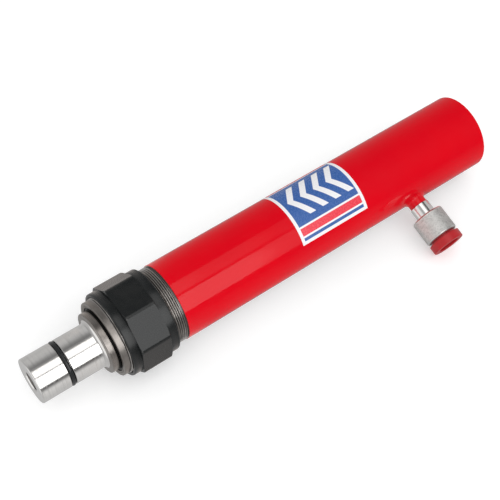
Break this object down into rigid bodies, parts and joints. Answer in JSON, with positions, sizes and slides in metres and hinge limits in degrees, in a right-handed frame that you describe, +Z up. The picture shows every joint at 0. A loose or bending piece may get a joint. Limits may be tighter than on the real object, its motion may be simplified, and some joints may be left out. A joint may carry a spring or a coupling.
{
  "type": "telescopic hydraulic ram",
  "caption": "Telescopic push ram with a painted barrel, threaded collar nut, push-fit nose and side oil coupler with a dust cap.",
  "frame": {"origin": "centre of the base face, where the ram axis meets it", "axes": "+X along the ram towards the nose, +Z up with the ram lying on a flat of its collar nut, the coupler points to +Y and 15.3 degrees down"},
  "size_m": [0.3708, 0.1014, 0.0618],
  "materials": {
    "red_paint": "glossy red enamel",
    "black_nut": "black oxide with a light oil film",
    "turned_steel": "turned",
    "chromed_steel": "ground and hard chromed",
    "polished_steel": "bright plated, polished",
    "knurled_steel": "fine straight knurl, plated",
    "spring_steel": "drawn wire",
    "bronze": "turned",
    "black_rubber": "moulded nitrile",
    "seal_polyurethane": "moulded",
    "wear_polymer": "machined",
    "red_plastic": "moulded, semi-gloss",
    "label_film": "printed film, plain panels and no lettering"
  },
  "bodies": {
    "barrel": {"barrel": "red_paint", "base_plug": "red_paint", "base_weld": "red_paint", "port_boss": "red_paint", "port_weld": "red_paint", "gland_nut": "turned_steel", "gland_bush": "bronze", "gland_wiper": "black_rubber", "label": "label_film", "spring_anchor_rear": "turned_steel", "return_spring": "spring_steel", "coupler_body": "polished_steel", "coupler_o_ring": "black_rubber", "collar_snap_ring": "spring_steel", "poppet_retainer": "spring_steel", "poppet_spring": "spring_steel"},
    "collar_nut": {"collar_nut": "black_nut"},
    "stage1": {"stage1_sleeve": "chromed_steel", "stage1_piston": "turned_steel", "stage1_seal": "seal_polyurethane", "stage1_wear_ring": "wear_polymer", "stage1_gland": "turned_steel", "stage1_bush": "bronze", "stage1_wiper": "black_rubber"},
    "stage2": {"plunger": "chromed_steel", "stage2_piston": "turned_steel", "stage2_seal": "seal_polyurethane", "stage2_wear_ring": "wear_polymer", "nose_adaptor": "polished_steel", "nose_o_ring": "black_rubber", "spring_anchor_front": "turned_steel"},
    "coupler_collar": {"coupler_collar": "knurled_steel"},
    "dust_cap": {"dust_cap": "red_plastic"},
    "poppet": {"poppet": "turned_steel"}
  },
  "joints": [
    {"name": "stage1_slide", "type": "slide", "parent": "barrel", "child": "stage1", "axis": [1, 0, 0], "range_m": [0, 0.175], "stiffness_N_per_m": 350, "springref_m": -0.12, "deforming": ["return_spring"]},
    {"name": "stage2_slide", "type": "slide", "parent": "stage1", "child": "stage2", "axis": [1, 0, 0], "range_m": [0, 0.15], "stiffness_N_per_m": 350, "springref_m": -0.12, "deforming": ["return_spring"]},
    {"name": "collar_nut_turn", "type": "hinge", "parent": "barrel", "child": "collar_nut", "pos_m": [0.29335, 0, 0], "axis": [1, 0, 0], "continuous": true},
    {"name": "coupler_collar_spin", "type": "hinge", "parent": "barrel", "child": "coupler_collar", "pos_m": [0.066, 0.05054, -0.01383], "axis": [0, 0.9646, -0.2639], "continuous": true},
    {"name": "dust_cap_pull", "type": "slide", "parent": "coupler_collar", "child": "dust_cap", "axis": [0, 0.9646, -0.2639], "range_m": [0, 0.035]},
    {"name": "poppet_push", "type": "slide", "parent": "barrel", "child": "poppet", "axis": [0, -0.9646, 0.2639], "range_m": [0, 0.0025], "stiffness_N_per_m": 1200, "springref_m": -0.002, "deforming": ["poppet_spring"]}
  ]
}
